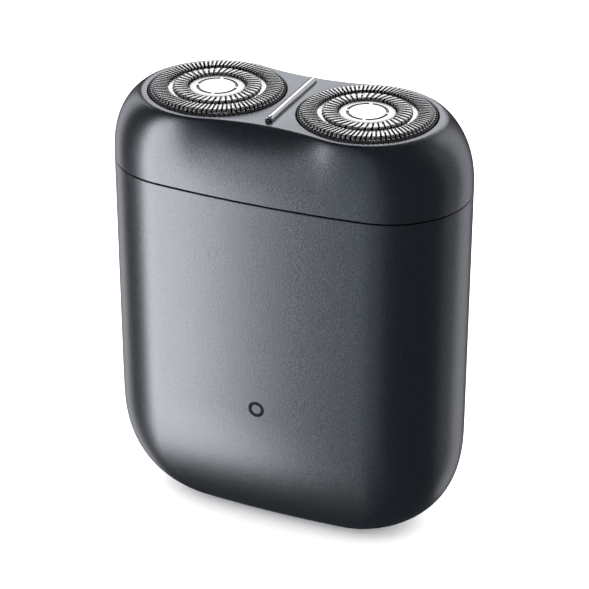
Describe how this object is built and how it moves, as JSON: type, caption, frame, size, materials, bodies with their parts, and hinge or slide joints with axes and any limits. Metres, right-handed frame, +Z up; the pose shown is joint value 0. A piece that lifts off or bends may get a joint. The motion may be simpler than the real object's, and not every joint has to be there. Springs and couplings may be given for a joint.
{
  "type": "rotary electric shaver",
  "caption": "Compact rotary electric shaver with floating slotted shaving caps, a lift-off head unit and a flat rounded metallic body holding drive, battery and charging socket.",
  "frame": {"origin": "centre of the flat base, on the surface the shaver stands on", "axes": "+Z up along the body to the shaving heads, X along the width through both heads, -Y is the front with the indicator ring, +Y is the back with the power button"},
  "size_m": [0.063, 0.03, 0.0781],
  "materials": {
    "shell_paint": "satin metallic",
    "cap_steel": "fine satin",
    "disc_steel": "circular brushed",
    "chrome": "polished",
    "black_plastic": "matte",
    "blade_steel": "ground",
    "magnet_nickel": "nickel plated",
    "magnet_dark": "matte",
    "frame_plastic": "fine matte",
    "gear_plastic": "moulded",
    "brass": "machined",
    "seal_rubber": "soft",
    "battery_wrap": "shrink wrap",
    "board_green": "solder mask",
    "clear_plastic": "clear"
  },
  "bodies": {
    "body": {"body_shell": "shell_paint", "gear_lid": "frame_plastic", "gearbox_base": "frame_plastic", "chassis": "frame_plastic", "motor_can": "blade_steel", "motor_end_cap": "black_plastic", "stator_magnets": "magnet_dark", "motor_screws": "blade_steel", "lid_screws": "blade_steel", "gear_axle_left": "blade_steel", "gear_axle_right": "blade_steel", "battery_cell": "battery_wrap", "battery_tabs": "blade_steel", "main_board": "board_green", "charge_board": "board_green", "board_components": "black_plastic", "usb_shell": "blade_steel", "usb_tongue": "black_plastic", "tact_switch": "black_plastic", "indicator_ring": "black_plastic", "indicator_centre": "shell_paint", "light_guide": "clear_plastic", "status_lamp": "clear_plastic", "head_gasket": "seal_rubber", "shaft_seal_left": "seal_rubber", "shaft_seal_right": "seal_rubber", "body_magnets": "magnet_nickel"},
    "head_unit": {"head_shell": "shell_paint", "trim_bar": "chrome", "retaining_frame": "frame_plastic", "head_magnets": "magnet_nickel", "frame_screws": "blade_steel"},
    "rotor": {"motor_shaft": "blade_steel", "armature": "blade_steel", "pinion": "brass"},
    "button": {"power_button": "shell_paint"},
    "plunger": {"switch_plunger": "gear_plastic"},
    "carrier_left": {"cap_carrier_left": "black_plastic"},
    "cap_left": {"shaving_cap_left": "cap_steel", "cap_disc_left": "disc_steel"},
    "cutter_left": {"cutter_blades_left": "blade_steel", "cutter_hub_left": "black_plastic"},
    "gear_left": {"drive_gear_left": "gear_plastic", "spindle_spring_left": "blade_steel"},
    "spindle_left": {"spindle_left": "gear_plastic"},
    "carrier_right": {"cap_carrier_right": "black_plastic"},
    "cap_right": {"shaving_cap_right": "cap_steel", "cap_disc_right": "disc_steel"},
    "cutter_right": {"cutter_blades_right": "blade_steel", "cutter_hub_right": "black_plastic"},
    "gear_right": {"drive_gear_right": "gear_plastic", "spindle_spring_right": "blade_steel"},
    "spindle_right": {"spindle_right": "gear_plastic"}
  },
  "joints": [
    {"name": "head_lift", "type": "slide", "parent": "body", "child": "head_unit", "axis": [0, 0, 1], "range_m": [0, 0.025]},
    {"name": "motor_spin", "type": "hinge", "parent": "body", "child": "rotor", "pos_m": [0, 0, 0.045], "axis": [0, 0, 1], "continuous": true},
    {"name": "button_press", "type": "slide", "parent": "body", "child": "button", "axis": [0, -1, 0], "range_m": [0, 0.0006], "stiffness_N_per_m": 400, "springref_m": -0.001},
    {"name": "switch_travel", "type": "slide", "parent": "body", "child": "plunger", "axis": [0, -1, 0], "range_m": [0, 0.0006]},
    {"name": "tilt_left", "type": "hinge", "parent": "head_unit", "child": "carrier_left", "pos_m": [-0.0135, 0, 0.0747], "axis": [1, 0, 0], "range_deg": [-3.5, 3.5], "stiffness_Nm_per_rad": 0.05},
    {"name": "float_left", "type": "slide", "parent": "carrier_left", "child": "cap_left", "axis": [0, 0, -1], "range_m": [0, 0.0008], "stiffness_N_per_m": 150, "springref_m": -0.003},
    {"name": "cutter_spin_left", "type": "hinge", "parent": "cap_left", "child": "cutter_left", "pos_m": [-0.0135, 0, 0.0757], "axis": [0, 0, 1], "continuous": true},
    {"name": "gear_spin_left", "type": "hinge", "parent": "body", "child": "gear_left", "pos_m": [-0.0135, 0, 0.0592], "axis": [0, 0, 1], "continuous": true},
    {"name": "spindle_slide_left", "type": "slide", "parent": "gear_left", "child": "spindle_left", "axis": [0, 0, -1], "range_m": [0, 0.0008], "stiffness_N_per_m": 150, "springref_m": -0.003, "deforming": ["spindle_spring_left"]},
    {"name": "tilt_right", "type": "hinge", "parent": "head_unit", "child": "carrier_right", "pos_m": [0.0135, 0, 0.0747], "axis": [1, 0, 0], "range_deg": [-3.5, 3.5], "stiffness_Nm_per_rad": 0.05},
    {"name": "float_right", "type": "slide", "parent": "carrier_right", "child": "cap_right", "axis": [0, 0, -1], "range_m": [0, 0.0008], "stiffness_N_per_m": 150, "springref_m": -0.003},
    {"name": "cutter_spin_right", "type": "hinge", "parent": "cap_right", "child": "cutter_right", "pos_m": [0.0135, 0, 0.0757], "axis": [0, 0, 1], "continuous": true},
    {"name": "gear_spin_right", "type": "hinge", "parent": "body", "child": "gear_right", "pos_m": [0.0135, 0, 0.0592], "axis": [0, 0, 1], "continuous": true},
    {"name": "spindle_slide_right", "type": "slide", "parent": "gear_right", "child": "spindle_right", "axis": [0, 0, -1], "range_m": [0, 0.0008], "stiffness_N_per_m": 150, "springref_m": -0.003, "deforming": ["spindle_spring_right"]}
  ],
  "couplings": [
    {"joint": "switch_travel", "follows": "button_press", "ratio": 1},
    {"joint": "gear_spin_left", "follows": "motor_spin", "ratio": -0.28571},
    {"joint": "cutter_spin_left", "follows": "motor_spin", "ratio": -0.28571},
    {"joint": "spindle_slide_left", "follows": "float_left", "ratio": 1},
    {"joint": "gear_spin_right", "follows": "motor_spin", "ratio": -0.28571},
    {"joint": "cutter_spin_right", "follows": "motor_spin", "ratio": -0.28571},
    {"joint": "spindle_slide_right", "follows": "float_right", "ratio": 1}
  ]
}
